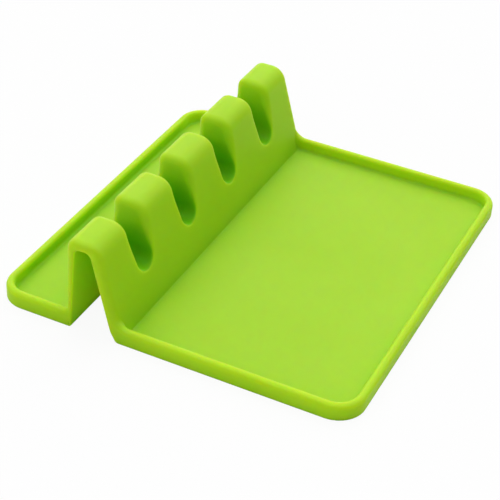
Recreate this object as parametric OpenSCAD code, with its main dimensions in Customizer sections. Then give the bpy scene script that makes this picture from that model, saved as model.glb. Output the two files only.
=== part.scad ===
// Spoon rest moulded in one piece of silicone.
// A hollow ridge with four troughs for handles stands between a narrow
// ledge tray and a wide drip tray, and one raised rim runs round both.
// X goes from the ledge to the drip tray, Y runs along the ridge and Z is up.

/* [Overall] */
// Size along the ridge
length = 200; // [160:1:240]
// Size across the ridge, ledge and drip tray together
width = 186; // [150:1:220]
// Plan radius of the four outer corners
corner_r = 14; // [8:0.5:20]

/* [Trays] */
// Thickness of both tray floors
floor_t = 2.2; // [1.8:0.1:3]
// Height of the rim above the table
rim_h = 8.4; // [7:0.1:11]
// Thickness of the rim
rim_w = 4.2; // [3.4:0.1:5]
// Rounding on the top edges of the rim
rim_round = 1.7; // [1:0.1:1.7]
// Fillet where the rim meets a tray floor
rim_root_r = 1.6; // [1:0.1:3]
// Distance from the left edge to the upright face of the ridge
ledge_w = 39.4; // [30:0.1:50]

/* [Ridge] */
// Height of the ridge above the table
ridge_h = 49.2; // [42:0.2:56]
// Width of the ridge where it stands on the tray floors
ridge_foot_w = 30; // [27:0.2:34]
// Draft of the upright face in degrees
left_draft = 0.6; // [0:0.2:3]
// Slope of the long face from the vertical in degrees
right_slope = 15.4; // [12:0.2:17]
// Thickness of the wall under the long face
wall_t = 5.2; // [4:0.1:5.6]
// Thickness of the upright wall at the table
upright_t = 2.6; // [2:0.1:3.4]
// Draft of the inner side of the upright wall in degrees
core_draft = 3.4; // [1:0.2:4]
// Thickness of the crown of the ridge
crown_t = 4.6; // [3.5:0.1:6]
// Radius of the shoulder over the upright face
left_shoulder_r = 5.2; // [4.8:0.1:6]
// Radius of the shoulder over the long face
right_shoulder_r = 8.6; // [7:0.1:9]
// Fillet where the long face meets the drip tray
pad_foot_r = 4.5; // [2:0.1:6]
// Fillet where the upright face meets the ledge
ledge_foot_r = 2; // [1:0.1:4]
// Radius of the bend under the foot of the long face
under_bend_r = 3; // [2:0.1:6]
// Radius where the rim top climbs into the long face
pad_climb_r = 5; // [3:0.1:7]
// Radius where the rim top climbs into the upright face
ledge_climb_r = 2; // [1.5:0.1:4]

/* [Slots] */
// Number of slots
slot_count = 4; // [2:1:4]
// Distance between slot centres
slot_pitch = 43.6; // [38:0.2:46]
// Radius of the round bottom of a slot
slot_r = 7; // [5:0.1:8]
// Height of the bottom of a slot above the table
slot_floor = 20; // [15:0.2:24]
// Draft of the slot walls in degrees
slot_draft = 1.2; // [1:0.1:4]
// Radius of the lips at the mouth of a slot
slot_lip_r = 4; // [3:0.1:8]
// Thickness of the trough wall under and beside a slot
trough_t = 3.5; // [2.5:0.1:4]

/* [Hidden] */
$fn = 96;
overrun = 1;
cavity_r = 2.6;

crown_z = ridge_h - crown_t;
slope_run = tan(right_slope);
draft_run = tan(left_draft);
core_run = tan(core_draft);
foot_x = ledge_w + ridge_foot_w;
rim_foot = rim_w + rim_root_r + overrun;
seat = 0.05;
slot_first = length / 2 - slot_pitch * (slot_count - 1) / 2;

// Face of each ridge wall at a height above the table
function upright_x(z) = ledge_w + (z - floor_t) * draft_run;
function core_x(z) = ledge_w + upright_t + z * core_run;
function long_x(z, inset = 0) = foot_x - (z - floor_t) * slope_run - inset / cos(right_slope);

function unit(v) = v / norm(v);
function half_angle(a, p, b) = acos(unit(a - p) * unit(b - p)) / 2;
function run_out(a, p, b, r) = r / tan(half_angle(a, p, b));
function arc_centre(a, p, b, r) = p + unit(unit(a - p) + unit(b - p)) * r / sin(half_angle(a, p, b));
function spot(corners, i) = let (c = corners[(i + len(corners)) % len(corners)]) [c[0], c[1]];
function turns_left(a, p, b) = cross(p - a, b - p) > 0;
function soft_points(corners) = [
    for (i = [0 : len(corners) - 1])
        let (a = spot(corners, i - 1), p = spot(corners, i), b = spot(corners, i + 1), r = corners[i][2])
            each r > 0
                ? [p + unit(a - p) * run_out(a, p, b, r), p + unit(b - p) * run_out(a, p, b, r)]
                : [p]
];

// Outline with tangent arcs from anticlockwise corners [x, y, radius]
module soft_outline(corners) {
    difference() {
        union() {
            polygon(soft_points(corners));
            corner_discs(corners, true);
        }
        corner_discs(corners, false);
    }
}

module corner_discs(corners, outer) {
    for (i = [0 : len(corners) - 1]) {
        a = spot(corners, i - 1);
        p = spot(corners, i);
        b = spot(corners, i + 1);
        r = corners[i][2];
        if (r > 0 && turns_left(a, p, b) == outer)
            translate(arc_centre(a, p, b, r)) circle(r);
    }
}

// Extrusions of an outline drawn as [x, z] or as [y, z]
module along_y(from, to) {
    translate([0, to, 0]) rotate([90, 0, 0]) linear_extrude(to - from) children();
}

module along_x(from, to) {
    translate([from, 0, 0]) rotate([90, 0, 90]) linear_extrude(to - from) children();
}

// Rim section: x is the distance inward from the edge and y the height
module rim_section() {
    soft_outline([
        [0, 0, 0],
        [rim_foot, 0, 0],
        [rim_foot, floor_t, 0],
        [rim_w, floor_t, rim_root_r],
        [rim_w, rim_h, rim_round],
        [0, rim_h, rim_round]
    ]);
}

// One straight side of the rim and the corner that follows it
module rim_side(x, y, turn, run) {
    translate([x, y, 0]) rotate([0, 0, turn]) {
        along_x(0, run) translate([-corner_r, 0]) rim_section();
        translate([run, 0, 0]) rotate([0, 0, -90])
            rotate_extrude(angle = 90) translate([corner_r, 0]) mirror([1, 0]) rim_section();
    }
}

module rim() {
    span_x = width - 2 * corner_r;
    span_y = length - 2 * corner_r;
    rim_side(corner_r, corner_r, 0, span_x);
    rim_side(width - corner_r, corner_r, 90, span_y);
    rim_side(width - corner_r, length - corner_r, 180, span_x);
    rim_side(corner_r, length - corner_r, 270, span_y);
}

module tray_floor() {
    linear_extrude(floor_t) soft_outline([
        [rim_w, rim_w, corner_r - rim_w],
        [width - rim_w, rim_w, corner_r - rim_w],
        [width - rim_w, length - rim_w, corner_r - rim_w],
        [rim_w, length - rim_w, corner_r - rim_w]
    ]);
}

// Outer form of the ridge from one end to the other
module ridge_outline() {
    soft_outline([
        [ledge_w - ledge_foot_r - overrun, 0, 0],
        [foot_x + pad_foot_r + overrun, 0, 0],
        [foot_x + pad_foot_r + overrun, floor_t, 0],
        [foot_x, floor_t, pad_foot_r],
        [long_x(ridge_h), ridge_h, right_shoulder_r],
        [upright_x(ridge_h), ridge_h, left_shoulder_r],
        [ledge_w, floor_t, ledge_foot_r],
        [ledge_w - ledge_foot_r - overrun, floor_t, 0]
    ]);
}

module ridge() {
    along_y(0, length) ridge_outline();
}

// Curve of the rim top where it climbs from its own line into a face of the ridge
module rim_climb(rim_end, corner, face_end, r, start, bend) {
    half = half_angle(rim_end, corner, face_end);
    centre = arc_centre(rim_end, corner, face_end, r);
    sunk = centre + unit(corner - centre) * seat / sin(half);
    for (y = [0, length - rim_w])
        translate([sunk[0], y, sunk[1]]) rotate([90, 0, 0]) rotate([0, 0, start])
            rotate_extrude(angle = bend) translate([r, -rim_w]) soft_outline([
                [0, 0, rim_round],
                [2 * rim_round, 0, 0],
                [2 * rim_round, rim_w, 0],
                [0, rim_w, rim_round]
            ]);
}

module rim_climbs() {
    rim_climb([width, rim_h], [long_x(rim_h), rim_h], [long_x(ridge_h), ridge_h],
        pad_climb_r, 180 + right_slope, 90 - right_slope);
    rim_climb([0, rim_h], [upright_x(rim_h), rim_h], [upright_x(ridge_h), ridge_h],
        ledge_climb_r, 270, 90 - left_draft);
}

// Upright U that flares at the top: the slot itself, or the trough round it
module u_outline(bottom_r, top_z, lip_r) {
    centre_z = slot_floor + slot_r;
    side_y = bottom_r * cos(slot_draft) - seat;
    side_z = centre_z - bottom_r * sin(slot_draft);
    top_y = side_y + (top_z - side_z) * tan(slot_draft);
    flare_y = top_y + lip_r + overrun;
    translate([0, centre_z]) circle(bottom_r);
    soft_outline([
        [-side_y, side_z, 0],
        [side_y, side_z, 0],
        [top_y, top_z, lip_r],
        [flare_y, top_z, 0],
        [flare_y, ridge_h + overrun, 0],
        [-flare_y, ridge_h + overrun, 0],
        [-flare_y, top_z, 0],
        [-top_y, top_z, lip_r]
    ]);
}

module at_slots() {
    for (i = [0 : slot_count - 1])
        translate([slot_first + i * slot_pitch, 0]) children();
}

// Space under the ridge: a tunnel that rises into each finger
module tunnel_outline() {
    bend = half_angle([long_x(ridge_h), ridge_h], [foot_x, 0], [width, 0]);
    low_x = long_x(0, wall_t);
    soft_outline([
        [core_x(-overrun), -overrun, 0],
        [low_x + under_bend_r / tan(bend) + overrun, -overrun, 0],
        [low_x + under_bend_r / tan(bend) + overrun, 0, 0],
        [low_x, 0, under_bend_r],
        [long_x(crown_z, wall_t), crown_z, right_shoulder_r - wall_t],
        [core_x(crown_z), crown_z, left_shoulder_r / 2]
    ]);
}

module finger_outline() {
    difference() {
        translate([-overrun, -2 * overrun]) square([length + 2 * overrun, ridge_h + 2 * overrun]);
        at_slots() u_outline(slot_r + trough_t, crown_z, cavity_r);
    }
}

module hollow() {
    intersection() {
        along_y(-overrun, length + overrun) tunnel_outline();
        along_x(ledge_w - overrun, foot_x + 2 * under_bend_r) finger_outline();
    }
}

module slots() {
    along_x(ledge_w - overrun, foot_x + overrun) at_slots() u_outline(slot_r, ridge_h, slot_lip_r);
}

module moulded_rest() {
    color([0.55, 0.78, 0.13])
        translate([-width / 2, -length / 2, 0])
            difference() {
                union() {
                    tray_floor();
                    rim();
                    ridge();
                    rim_climbs();
                }
                hollow();
                slots();
            }
}

moulded_rest();
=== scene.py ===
# Silicone spoon rest. The solid moulding has sharp cut edges, so a skin with the same
# forms and the soft edges of moulded silicone takes its place.
# Then come its material, a pale floor, soft studio light and the camera.
import math
import bpy
import numpy as np
from mathutils import Matrix, Vector


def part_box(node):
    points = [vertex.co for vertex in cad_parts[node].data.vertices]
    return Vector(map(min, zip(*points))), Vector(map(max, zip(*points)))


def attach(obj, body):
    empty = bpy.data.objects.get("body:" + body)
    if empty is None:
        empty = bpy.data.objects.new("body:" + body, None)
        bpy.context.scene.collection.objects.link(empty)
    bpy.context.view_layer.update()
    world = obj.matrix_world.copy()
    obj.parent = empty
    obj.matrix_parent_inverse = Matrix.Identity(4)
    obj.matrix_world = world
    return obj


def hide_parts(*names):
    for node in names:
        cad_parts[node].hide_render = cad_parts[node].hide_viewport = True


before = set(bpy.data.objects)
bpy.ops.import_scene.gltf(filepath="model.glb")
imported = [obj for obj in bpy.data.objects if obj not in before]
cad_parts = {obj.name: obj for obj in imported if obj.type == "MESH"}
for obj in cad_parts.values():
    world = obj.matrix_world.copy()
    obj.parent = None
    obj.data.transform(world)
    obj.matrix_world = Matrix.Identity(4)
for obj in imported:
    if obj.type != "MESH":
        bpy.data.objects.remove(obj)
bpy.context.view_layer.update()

MM = 0.001
LOW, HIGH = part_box("moulded_rest")
LENGTH = HIGH.y - LOW.y
WIDTH = HIGH.x - LOW.x
RIDGE_H = HIGH.z

# Forms of the moulding, as in the part's source
CORNER_R = 14 * MM
FLOOR_T = 2.2 * MM
RIM_H = 8.4 * MM
RIM_W = 4.2 * MM
RIM_ROUND = 1.7 * MM
RIM_ROOT_R = 1.6 * MM
LEDGE_W = 39.4 * MM
RIDGE_FOOT_W = 30 * MM
LEFT_RUN = math.tan(math.radians(0.6))
RIGHT_RUN = math.tan(math.radians(15.4))
WALL_T = 5.2 * MM
UPRIGHT_T = 2.6 * MM
CORE_RUN = math.tan(math.radians(3.4))
CROWN_T = 4.6 * MM
LEFT_SHOULDER_R = 5.2 * MM
RIGHT_SHOULDER_R = 8.6 * MM
PAD_FOOT_R = 4.5 * MM
LEDGE_FOOT_R = 2 * MM
UNDER_BEND_R = 3 * MM
CAVITY_R = 2.6 * MM
SLOT_COUNT = 4
SLOT_PITCH = 43.6 * MM
SLOT_R = 7 * MM
SLOT_FLOOR = 20 * MM
SLOT_DRAFT = math.radians(1.2)
TROUGH_T = 3.5 * MM

# Soft edges that only this skin has
RIM_OUTER_R = 2.5 * MM
END_ROUND = 3.4 * MM
END_LEAN = 0.03
PAD_FOLD_R = 0.5 * MM
SLOT_EDGE_R = 4 * MM
SLOT_FOOT_R = 0.9 * MM
SLOT_FADE = 22 * MM
INNER_EDGE_R = 1.1 * MM
UNDER_EDGE_R = 0.7 * MM

FOOT_X = LEDGE_W + RIDGE_FOOT_W
CROWN_Z = RIDGE_H - CROWN_T
MIDDLE_X = LEDGE_W + RIDGE_FOOT_W / 2
SLOT_FIRST = LENGTH / 2 - SLOT_PITCH * (SLOT_COUNT - 1) / 2

# Colours of the silicone: its two tones, the green of painted shade in recesses, and what
# multiplies them for painted light on upward faces and a painted glow on the upright wall's tunnel side
LIME_DEEPER = (0.388, 0.692, 0.0160, 1)
LIME_PALER = (0.405, 0.717, 0.0200, 1)
PAINTED_SHADE_GREEN = (0.140, 0.500, 0.004, 1)
PAINTED_TOP_LIGHT_GAIN = (1.10, 1.065, 2.4, 1)
PAINTED_GLOW_GAIN = (1.12, 1.36, 1, 1)

# Where the painted shade, painted light and painted glow start and stop, from the middle of the rest and
# up from the table.
# Each pair goes from where a share is 0 to where it is 1.
ENDS_FROM_TO = (LENGTH / 2 - 37 * MM, LENGTH / 2 - 15 * MM)
ENDS_SHIFT_ON_PAD = 10 * MM
PAD_FROM_TO = (FOOT_X - WIDTH / 2 - 8.4 * MM, FOOT_X - WIDTH / 2 - 3.4 * MM)
BACK_RIM_FROM_TO = (WIDTH / 2 - 21 * MM, WIDTH / 2 - 5 * MM)
SLOT_RISE = (SLOT_FLOOR - 3 * MM, SLOT_FLOOR)
SLOT_FALL = (SLOT_FLOOR + 17 * MM, SLOT_FLOOR + 5 * MM)
SLOT_PAINTED_SHADE = 0.84
WALL_RISE = (LEDGE_W - WIDTH / 2 - 2.4 * MM, LEDGE_W - WIDTH / 2 + 0.6 * MM)
WALL_FALL = (LEDGE_W - WIDTH / 2 + 9.6 * MM, LEDGE_W - WIDTH / 2 + 6.6 * MM)
RECESS_REACH = 20 * MM


def unit(v):
    return v / np.hypot(*v)


def outline(corners):
    """Signed distance to an outline with tangent arcs, from anticlockwise corners (u, v, radius)."""
    count = len(corners)
    ring, lines, arcs = [], [], []
    for i in range(count):
        a, p, b = (np.array(corners[(i + k) % count][:2]) for k in (-1, 0, 1))
        radius = corners[i][2]
        back, ahead = unit(a - p), unit(b - p)
        half = math.acos(float(back @ ahead)) / 2
        run = radius / math.tan(half)
        ring += [p + back * run, p + ahead * run]
        if radius > 0:
            toward = unit(back + ahead)
            centre = p + toward * radius / math.sin(half)
            convex = (p - a)[0] * (b - p)[1] - (p - a)[1] * (b - p)[0] > 0
            arcs.append((centre, radius, -toward, math.sin(half), convex))
    for i in range(count):
        lines.append((ring[2 * i + 1], ring[(2 * i + 2) % (2 * count)]))

    def distance(u, v):
        u, v = np.broadcast_arrays(u, v)
        nearest = np.full(u.shape, np.inf)
        inside = np.zeros(u.shape, bool)
        for a, b in lines:
            along = b - a
            t = np.clip(((u - a[0]) * along[0] + (v - a[1]) * along[1]) / (along @ along), 0, 1)
            nearest = np.minimum(nearest, np.hypot(u - a[0] - t * along[0], v - a[1] - t * along[1]))
        for a, b in zip(ring, ring[1:] + ring[:1]):
            if a[1] != b[1]:
                crosses = (a[1] > v) != (b[1] > v)
                inside ^= crosses & (u < a[0] + (v - a[1]) * (b[0] - a[0]) / (b[1] - a[1]))
        for centre, radius, toward, reach, convex in arcs:
            du, dv = u - centre[0], v - centre[1]
            away = np.hypot(du, dv)
            faces = du * toward[0] + dv * toward[1] >= away * reach
            nearest = np.where(faces, np.minimum(nearest, abs(away - radius)), nearest)
            inside = inside | (away < radius) if convex else inside & (away > radius)
        return np.where(inside, -nearest, nearest)

    return distance


def soft_and(a, b, radius):
    """Where both solids are, with the edge between them rounded."""
    past_edge = np.hypot(np.maximum(a + radius, 0), np.maximum(b + radius, 0))
    return np.minimum(np.maximum(a, b), -radius) + past_edge


def soft_or(a, b, radius):
    """Where either solid is, with a fillet between them."""
    return -soft_and(-a, -b, radius)


def ease(low, high, value):
    """0 where value is low and 1 where it is high, eased at both ends."""
    t = np.clip((value - low) / (high - low), 0, 1)
    return t * t * (3 - 2 * t)


# Faces of the ridge's walls at a height above the table
def upright_x(z):
    return LEDGE_W + (z - FLOOR_T) * LEFT_RUN


def long_x(z, inset=0.0):
    return FOOT_X - (z - FLOOR_T) * RIGHT_RUN - inset * math.hypot(1, RIGHT_RUN)


def core_x(z):
    return LEDGE_W + UPRIGHT_T + z * CORE_RUN


DEEP = -20 * MM
ridge = outline([
    (upright_x(DEEP), DEEP, 0),
    (long_x(DEEP), DEEP, 0),
    (long_x(RIDGE_H), RIDGE_H, RIGHT_SHOULDER_R),
    (upright_x(RIDGE_H), RIDGE_H, LEFT_SHOULDER_R),
])
tunnel = outline([
    (core_x(DEEP), DEEP, 0),
    (long_x(DEEP, WALL_T), DEEP, 0),
    (long_x(CROWN_Z, WALL_T), CROWN_Z, RIGHT_SHOULDER_R - WALL_T),
    (core_x(CROWN_Z), CROWN_Z, LEFT_SHOULDER_R / 2),
])


def plan(x, y):
    """Signed distance to the outline of the whole rest from above."""
    u = abs(x - WIDTH / 2) - WIDTH / 2 + CORNER_R
    v = abs(y - LENGTH / 2) - LENGTH / 2 + CORNER_R
    return np.hypot(np.maximum(u, 0), np.maximum(v, 0)) + np.minimum(np.maximum(u, v), 0) - CORNER_R


def slots(y, z):
    """Signed distance to the nearest slot, an upright U with drafted sides."""
    nearest = np.clip(np.round((y - SLOT_FIRST) / SLOT_PITCH), 0, SLOT_COUNT - 1)
    side = abs(y - SLOT_FIRST - nearest * SLOT_PITCH)
    up = z - SLOT_FLOOR - SLOT_R
    rise = side * math.sin(SLOT_DRAFT) + up * math.cos(SLOT_DRAFT)
    wall = side * math.cos(SLOT_DRAFT) - up * math.sin(SLOT_DRAFT)
    return np.where(rise > 0, wall, np.hypot(side, up)) - SLOT_R


def moulding(x, y, z):
    """Signed distance to the soft-edged moulding, in the corner frame of the part's source."""
    edge = plan(x, y)
    slot = slots(y, z)
    rim = soft_and(-edge - RIM_W, z - RIM_H, RIM_ROUND)
    tray = soft_or(rim, z - FLOOR_T, RIM_ROOT_R)
    fold = PAD_FOLD_R + (PAD_FOOT_R - PAD_FOLD_R) * ease(-2 * RIM_W, -RIM_W / 2, edge)
    body = soft_or(tray, ridge(x, z), np.where(x > MIDDLE_X, fold, LEDGE_FOOT_R))
    outer = edge + END_LEAN * np.maximum(z - RIM_H, 0)
    outer_r = RIM_OUTER_R + (END_ROUND - RIM_OUTER_R) * ease(RIM_H, RIM_H + PAD_FOOT_R, z)
    body = soft_and(body, outer, outer_r)
    body = soft_and(body, -z, UNDER_EDGE_R)
    hollow = soft_and(tunnel(x, z), TROUGH_T - slot, CAVITY_R)
    bend = (UNDER_BEND_R - INNER_EDGE_R) * (1 - ease(0, 2 * UNDER_BEND_R, z)) * (x > MIDDLE_X)
    body = soft_and(body, -hollow, INNER_EDGE_R + bend)
    lip = ease(SLOT_FLOOR, SLOT_FLOOR + SLOT_FADE, z)
    return soft_and(body, -slot, SLOT_FOOT_R + (SLOT_EDGE_R - SLOT_FOOT_R) * lip)


def stops(start, *stretches):
    """Grid lines from start on through stretches (end, spacing in millimetres)."""
    lines = [start]
    for end, spacing in stretches:
        count = max(1, round((end - lines[-1]) / (spacing * MM)))
        lines += list(np.linspace(lines[-1], end, count + 1)[1:])
    return np.array(lines)


def grid():
    """Grid lines along each axis, closest together at the rims, the ridge and the slots."""
    margin = 1.5 * MM
    rim_band = 9 * MM
    foot_band = 5 * MM
    near_slot = SLOT_R + SLOT_EDGE_R + 1 * MM
    xs = stops(
        -margin,
        (rim_band, 0.5),
        (LEDGE_W - foot_band, 2.6),
        (FOOT_X + foot_band, 0.6),
        (WIDTH - rim_band, 3.2),
        (WIDTH + margin, 0.5),
    )
    across_slots = []
    for i in range(SLOT_COUNT):
        middle = SLOT_FIRST + i * SLOT_PITCH
        across_slots += [(middle - near_slot, 1.3), (middle + near_slot, 0.6)]
    ys = stops(
        -margin,
        (rim_band, 0.5),
        *across_slots,
        (LENGTH - rim_band, 1.3),
        (LENGTH + margin, 0.5),
    )
    over_rim = 11 * MM
    under_slots = 16 * MM
    slot_rounds_end = 27 * MM
    slot_walls_end = 37 * MM
    zs = stops(
        -margin,
        (over_rim, 0.5),
        (under_slots, 0.8),
        (slot_rounds_end, 0.6),
        (slot_walls_end, 1.0),
        (RIDGE_H + margin, 0.55),
    )
    return xs, ys, zs


def neighbour(place, across, i, j):
    """Cells i and j steps back from the given ones along two axes."""
    cell = place.copy()
    cell[:, across[0]] -= i
    cell[:, across[1]] -= j
    return cell


def net(field, axes):
    """Surface net of a signed distance field: one point in each cell that the surface crosses."""
    xs, ys, zs = axes
    value = field(xs[:, None, None], ys[None, :, None], zs[None, None, :])
    solid = value < 0
    cells = tuple(n - 1 for n in value.shape)
    total = np.zeros(cells + (3,))
    hits = np.zeros(cells)
    crossings = []
    for axis in range(3):
        ahead = [slice(None)] * 3
        behind = [slice(None)] * 3
        ahead[axis], behind[axis] = slice(1, None), slice(None, -1)
        ahead, behind = tuple(ahead), tuple(behind)
        place = np.argwhere(solid[ahead] != solid[behind])
        step = np.eye(3, dtype=int)[axis]
        low, high = value[tuple(place.T)], value[tuple((place + step).T)]
        share = low / (low - high)
        point = np.stack([axes[k][place[:, k]] for k in range(3)], 1)
        point[:, axis] += share * (axes[axis][place[:, axis] + 1] - axes[axis][place[:, axis]])
        across = [k for k in range(3) if k != axis]
        for i in (0, 1):
            for j in (0, 1):
                cell = neighbour(place, across, i, j)
                fits = ((cell >= 0) & (cell < cells)).all(1)
                np.add.at(total, tuple(cell[fits].T), point[fits])
                np.add.at(hits, tuple(cell[fits].T), 1)
        crossings.append((axis, across, place, low < 0))
    used = hits > 0
    number = np.full(cells, -1)
    number[used] = np.arange(used.sum())
    points = total[used] / hits[used][:, None]
    quads = []
    for axis, across, place, outward in crossings:
        ring = []
        for i, j in ((0, 0), (1, 0), (1, 1), (0, 1)):
            ring.append(number[tuple(neighbour(place, across, i, j).T)])
        ring = np.stack(ring, 1)
        turned = outward if axis != 1 else ~outward
        quads.append(np.where(turned[:, None], ring, ring[:, ::-1]))
    return points, np.concatenate(quads)


def slope(field, points, reach=0.02 * MM):
    """Gradient of the field at points."""
    parts = []
    for axis in range(3):
        step = np.eye(3)[axis] * reach
        parts.append((field(*(points + step).T) - field(*(points - step).T)) / (2 * reach))
    return np.stack(parts, 1)


def settled(field, points, rounds):
    """Points moved onto the surface of the field; where its slope is weak the steps stay small."""
    weakest = 0.25
    for _ in range(rounds):
        normal = slope(field, points)
        size = np.maximum((normal ** 2).sum(1), weakest)
        points = points - normal * (field(*points.T) / size)[:, None]
    return points


def moulded_skin():
    """The soft-edged moulding as one mesh, with half the triangles of its surface net."""
    points, quads = net(moulding, grid())
    points = settled(moulding, points, rounds=3)
    corner = np.array([WIDTH / 2, LENGTH / 2, 0])
    mesh = bpy.data.meshes.new("soft_rest")
    mesh.from_pydata((points - corner).tolist(), [], quads.tolist())
    piece = bpy.data.objects.new("soft_rest", mesh)
    bpy.context.scene.collection.objects.link(piece)
    thin = piece.modifiers.new("thin", "DECIMATE")
    thin.ratio = 0.5
    lean = bpy.data.meshes.new_from_object(piece.evaluated_get(bpy.context.evaluated_depsgraph_get()))
    piece.modifiers.clear()
    piece.data = lean
    lean.name = "soft_rest"
    flat = np.zeros(len(lean.vertices) * 3)
    lean.vertices.foreach_get("co", flat)
    points = settled(moulding, flat.reshape(-1, 3) + corner, rounds=2)
    lean.vertices.foreach_set("co", (points - corner).ravel())
    lean.polygons.foreach_set("use_smooth", np.ones(len(lean.polygons), bool))
    normal = slope(moulding, points)
    normal /= np.maximum(np.linalg.norm(normal, axis=1), 1e-6)[:, None]
    lean.normals_split_custom_set_from_vertices(normal.tolist())
    lean.update()
    return piece


def feed(tree, socket, value):
    """Links another node's output to a socket, or sets the socket's own value."""
    if isinstance(value, bpy.types.NodeSocket):
        tree.links.new(value, socket)
    else:
        socket.default_value = value


def node(tree, kind, **inputs):
    """A new node; inputs are values or outputs, and an underscore in a name stands for a space."""
    made = tree.nodes.new(kind)
    for name, value in inputs.items():
        feed(tree, made.inputs[name.replace("_", " ")], value)
    return made


def computed(tree, operation, *values):
    """Result of a Math node."""
    made = tree.nodes.new("ShaderNodeMath")
    made.operation = operation
    for socket, value in zip(made.inputs, values):
        feed(tree, socket, value)
    return made.outputs["Value"]


def mapped(tree, value, low, high, least=0.0, most=1.0, eased=True):
    """Goes from least where value is low to most where it is high, and is level outside."""
    made = node(tree, "ShaderNodeMapRange", From_Min=low, From_Max=high, To_Min=least, To_Max=most)
    made.interpolation_type = "SMOOTHSTEP" if eased else "LINEAR"
    feed(tree, made.inputs["Value"], value)
    return made.outputs["Result"]


def band(tree, value, rise, fall):
    """1 between rise and fall and 0 outside; each is a pair from where it is 0 to where it is 1."""
    rising = mapped(tree, value, *rise, eased=False)
    falling = mapped(tree, value, *fall, eased=False)
    return computed(tree, "MULTIPLY", rising, falling)


def noise(tree, place, scale, detail, roughness):
    made = node(tree, "ShaderNodeTexNoise", Vector=place, Scale=scale, Detail=detail, Roughness=roughness)
    return made.outputs["Fac"]


def mixed(tree, blend, factor, first, second):
    """Colour from a Mix node, which has its colour sockets after those for numbers and vectors."""
    first_socket, second_socket, result_socket = 6, 7, 2
    made = tree.nodes.new("ShaderNodeMix")
    made.data_type = "RGBA"
    made.blend_type = blend
    feed(tree, made.inputs["Factor"], factor)
    feed(tree, made.inputs[first_socket], first)
    feed(tree, made.inputs[second_socket], second)
    return made.outputs[result_socket]


def clear_material(name):
    """A material with an empty node tree."""
    material = bpy.data.materials.new(name)
    material.use_nodes = True
    material.node_tree.nodes.clear()
    return material


def near_ends(tree, spot):
    """Share that is 1 near the two ends of the rest; on the drip tray it starts further out."""
    on_pad = mapped(tree, spot["X"], *PAD_FROM_TO, most=ENDS_SHIFT_ON_PAD, eased=False)
    from_middle = computed(tree, "ABSOLUTE", spot["Y"])
    return mapped(tree, computed(tree, "SUBTRACT", from_middle, on_pad), *ENDS_FROM_TO)


def in_the_open(tree, spot, ends):
    """Share that is 0 between close walls and 1 in the open, at the ends and at the back rim."""
    # Where this share is low, a deeper green is painted in as shade between close walls
    depth = node(tree, "ShaderNodeAmbientOcclusion", Distance=RECESS_REACH)
    depth.samples = 8
    depth.only_local = True
    open_share = mapped(tree, depth.outputs["AO"], low=0.27, high=0.84)
    back_rim = mapped(tree, spot["X"], *BACK_RIM_FROM_TO)
    plain = computed(tree, "MAXIMUM", ends, back_rim)
    return computed(tree, "MAXIMUM", open_share, plain)


def off_slot_walls(tree, spot, facing, ends):
    """Share that is low on the lower walls and bottoms of the slots and 1 elsewhere."""
    # A low share paints shade on the slots' lower walls and bottoms, and keeps the painted top light off
    # them
    at_height = band(tree, spot["Z"], SLOT_RISE, SLOT_FALL)
    across_ridge = computed(tree, "ABSOLUTE", facing["X"])
    along_ridge = mapped(tree, across_ridge, low=0.8, high=0.3, most=SLOT_PAINTED_SHADE)
    inward = computed(tree, "SUBTRACT", 1.0, ends)
    slot_walls = computed(tree, "MULTIPLY", at_height, computed(tree, "MULTIPLY", along_ridge, inward))
    return computed(tree, "SUBTRACT", 1.0, slot_walls)


def inside_upright_wall(tree, spot, facing):
    """Share that is 1 on the tunnel's side of the thin upright wall."""
    # Painted glow: this side of the thin upright wall is painted lighter, standing in for light coming
    # through it
    at_wall = band(tree, spot["X"], WALL_RISE, WALL_FALL)
    to_pad = mapped(tree, facing["X"], low=0.3, high=0.8)
    return computed(tree, "MULTIPLY", at_wall, to_pad)


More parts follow.
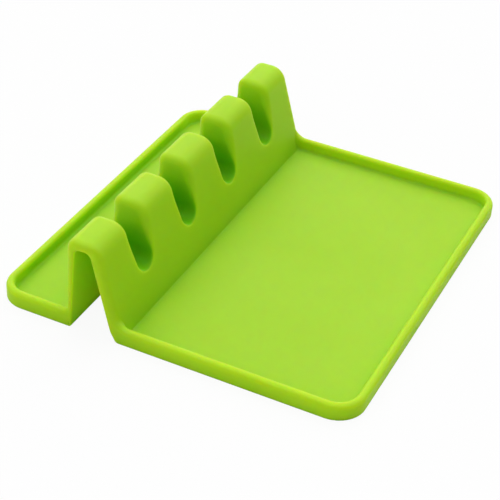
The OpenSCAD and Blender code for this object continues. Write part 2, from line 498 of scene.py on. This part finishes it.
def silicone():
    """Satin lime silicone with a soft sheen, light passing under the surface and a fine matt grain.

    Its tone follows the object. A deeper green is painted in as shade where close walls hide the
    surface, so the slots, the tunnel and the folds are darker; the ridge's ends and the end rims
    are left without this painted shade. Upward faces are painted a little paler as painted light,
    and the tunnel's side of the thin upright wall is painted lighter, a glow for light coming through it.
    """
    material = clear_material("silicone")
    tree = material.node_tree
    place = tree.nodes.new("ShaderNodeTexCoord").outputs
    spot = node(tree, "ShaderNodeSeparateXYZ", Vector=place["Object"]).outputs
    facing = node(tree, "ShaderNodeSeparateXYZ", Vector=place["Normal"]).outputs
    clouds = noise(tree, place["Object"], scale=18.0, detail=3.0, roughness=0.5)
    tone = node(tree, "ShaderNodeValToRGB", Fac=clouds)
    deeper, paler = tone.color_ramp.elements
    deeper.position = 0.3
    deeper.color = LIME_DEEPER
    paler.position = 0.7
    paler.color = LIME_PALER

    ends = near_ends(tree, spot)
    off_slots = off_slot_walls(tree, spot, facing, ends)
    # Painted light: upward faces get a paler colour, except in the slots
    upward = mapped(tree, facing["Z"], low=0.5, high=0.95)
    painted_top_light_share = computed(tree, "MULTIPLY", upward, off_slots)
    unshaded_share = computed(tree, "MULTIPLY", in_the_open(tree, spot, ends), off_slots)
    colour = mixed(tree, "MULTIPLY", painted_top_light_share, tone.outputs["Color"], PAINTED_TOP_LIGHT_GAIN)
    # Painted glow on the tunnel's side of the upright wall, for light coming through it
    colour = mixed(tree, "MULTIPLY", inside_upright_wall(tree, spot, facing), colour, PAINTED_GLOW_GAIN)
    # Painted shade: a deeper green where close walls hide the surface and on the slots' lower walls
    colour = mixed(tree, "MIX", unshaded_share, PAINTED_SHADE_GREEN, colour)

    grain = noise(tree, place["Object"], scale=2600.0, detail=2.0, roughness=0.6)
    bump = node(tree, "ShaderNodeBump", Height=grain, Strength=0.12, Distance=0.05 * MM)
    polish = mapped(tree, clouds, low=0.0, high=1.0, least=0.32, most=0.38, eased=False)
    shader = node(
        tree, "ShaderNodeBsdfPrincipled",
        Base_Color=colour,
        Roughness=polish,
        Normal=bump.outputs["Normal"],
        IOR=1.41,
        Specular_IOR_Level=0.06,
        Subsurface_Weight=1.0,
        Subsurface_Radius=(1.6, 0.8, 0.1),
        Subsurface_Scale=7 * MM,
    )
    node(tree, "ShaderNodeOutputMaterial", Surface=shader.outputs["BSDF"])
    return material


rest = moulded_skin()
rest.data.materials.clear()
rest.data.materials.append(silicone())
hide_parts("moulded_rest")
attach(rest, "root")


def white_where_seen(tree, shader, kind, share):
    """Mixes a share of plain white from a node of the given kind into what the camera sees directly."""
    path = tree.nodes.new("ShaderNodeLightPath")
    white = node(tree, kind, Color=(1, 1, 1, 1))
    part = computed(tree, "MULTIPLY", path.outputs["Is Camera Ray"], share)
    mix = node(tree, "ShaderNodeMixShader", Fac=part)
    feed(tree, mix.inputs[1], shader.outputs[0])
    feed(tree, mix.inputs[2], white.outputs[0])
    return mix.outputs[0]


def studio_floor():
    """A wide pale floor just under the rest."""
    reach = 6.0
    drop = 0.1 * MM
    pale = (0.9, 0.9, 0.9, 1)
    mesh = bpy.data.meshes.new("studio_floor")
    corners = [(-reach, -reach, 0), (reach, -reach, 0), (reach, reach, 0), (-reach, reach, 0)]
    mesh.from_pydata(corners, [], [(0, 1, 2, 3)])
    floor = bpy.data.objects.new("studio_floor", mesh)
    floor.location.z = -drop
    bpy.context.scene.collection.objects.link(floor)
    material = clear_material("studio_floor")
    tree = material.node_tree
    paint = node(tree, "ShaderNodeBsdfDiffuse", Color=pale)
    seen = white_where_seen(tree, paint, "ShaderNodeEmission", 0.93)
    node(tree, "ShaderNodeOutputMaterial", Surface=seen)
    mesh.materials.append(material)


def softbox(tree, azimuth, elevation, spread, strength):
    """Strength of one soft patch of light on the dome, brightest at its middle; angles in degrees."""
    azimuth, elevation = math.radians(azimuth), math.radians(elevation)
    middle = (
        math.cos(elevation) * math.cos(azimuth),
        math.cos(elevation) * math.sin(azimuth),
        math.sin(elevation),
    )
    place = tree.nodes.new("ShaderNodeTexCoord")
    near = tree.nodes.new("ShaderNodeVectorMath")
    near.operation = "DOT_PRODUCT"
    feed(tree, near.inputs[0], place.outputs["Generated"])
    feed(tree, near.inputs[1], middle)
    return mapped(tree, near.outputs["Value"], math.cos(math.radians(spread)), 1.0, most=strength)


def studio_sky():
    """A pale room, a key softbox behind to the left and a fill in front; white where the camera looks."""
    world = bpy.data.worlds.new("studio_sky")
    world.use_nodes = True
    bpy.context.scene.world = world
    tree = world.node_tree
    tree.nodes.clear()
    room = softbox(tree, azimuth=104, elevation=52, spread=96, strength=1.50)
    key = softbox(tree, azimuth=103, elevation=56, spread=45, strength=0.80)
    fill = softbox(tree, azimuth=256, elevation=26, spread=40, strength=1.60)
    total = computed(tree, "ADD", computed(tree, "ADD", key, fill), room)
    light = node(tree, "ShaderNodeBackground", Color=(0.8, 0.8, 0.8, 1), Strength=total)
    seen = white_where_seen(tree, light, "ShaderNodeBackground", 1.0)
    node(tree, "ShaderNodeOutputWorld", Surface=seen)


def studio_camera():
    """The photograph's view, from a camera fitted to the outlines of the rest."""
    azimuth = math.radians(24.405)
    elevation = math.radians(35.672)
    roll = math.radians(3.161)
    aim = Vector((-5.42, -2.0, -0.37)) * MM
    distance = 737.4 * MM
    forward = Vector((
        -math.sin(azimuth) * math.cos(elevation),
        math.cos(azimuth) * math.cos(elevation),
        -math.sin(elevation),
    ))
    camera = bpy.data.objects.new("camera", bpy.data.cameras.new("camera"))
    camera.data.lens = 104.5
    camera.data.clip_start = 0.05
    camera.location = aim - forward * distance
    turn = forward.to_track_quat("-Z", "Y").to_matrix() @ Matrix.Rotation(roll, 3, "Z")
    camera.rotation_euler = turn.to_euler()
    bpy.context.scene.collection.objects.link(camera)
    bpy.context.scene.camera = camera


studio_floor()
studio_sky()
studio_camera()
bpy.context.scene.view_settings.view_transform = "Standard"
